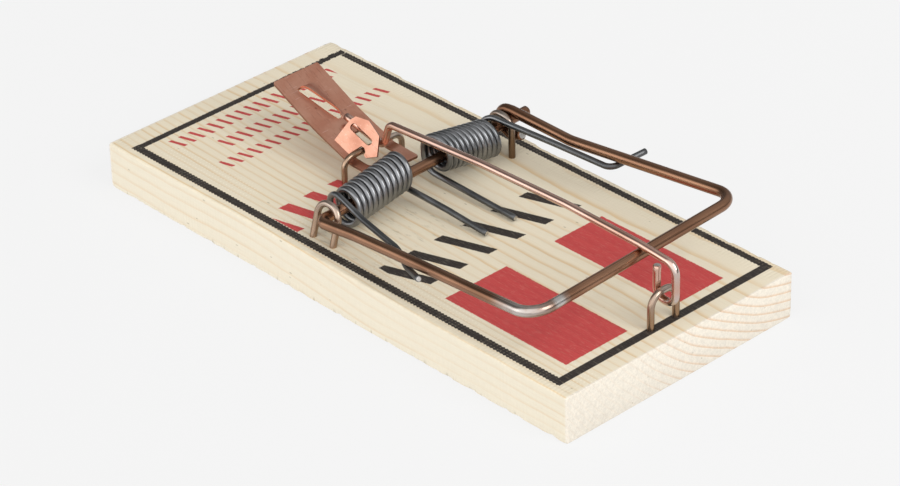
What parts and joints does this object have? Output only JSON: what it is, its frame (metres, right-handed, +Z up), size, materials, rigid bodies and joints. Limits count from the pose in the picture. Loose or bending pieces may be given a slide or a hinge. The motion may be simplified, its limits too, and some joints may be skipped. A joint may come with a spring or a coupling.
{
  "type": "snap trap",
  "caption": "Wooden snap trap, set: wire hammer on an axle with coil springs, hooked holding bar and a stamped bait pedal with a catch.",
  "frame": {"origin": "centre of the board's underside", "axes": "+X along the board towards the holding bar's staple, +Y towards the side where the hammer's eye closes round the axle, +Z up out of the board's top"},
  "size_m": [0.175, 0.0837, 0.0346],
  "materials": {
    "pine": "sawn pale pine with printed ink",
    "copper_plate": "copper-plated steel sheet, fine scratches",
    "copper_wire": "copper-plated steel wire",
    "bar_wire": "copper-plated steel wire",
    "hammer_wire": "dark copper-plated steel wire",
    "spring_steel": "oiled bare spring wire"
  },
  "bodies": {
    "base": {"base_board": "pine", "axle_staple_near": "copper_wire", "axle_staple_far": "copper_wire", "bar_staple": "copper_wire", "pedal_staple": "copper_wire", "spring_near": "spring_steel", "spring_far": "spring_steel"},
    "hammer": {"hammer": "hammer_wire"},
    "holding_bar": {"holding_bar": "bar_wire"},
    "pedal": {"pedal": "copper_plate"}
  },
  "joints": [
    {"name": "hammer_swing", "type": "hinge", "parent": "base", "child": "hammer", "pos_m": [-0.0083, 0, 0.02105], "axis": [0, -0.9995, -0.033], "range_deg": [0, 176.5], "deforming": ["spring_near", "spring_far"]},
    {"name": "bar_swing", "type": "hinge", "parent": "base", "child": "holding_bar", "pos_m": [0.0806, 0.0004, 0.0232], "axis": [0, 1, 0], "range_deg": [0, 150]},
    {"name": "pedal_tilt", "type": "hinge", "parent": "base", "child": "pedal", "pos_m": [-0.0258, 0, 0.02095], "axis": [0, -1, 0], "range_deg": [-1, 20]}
  ]
}
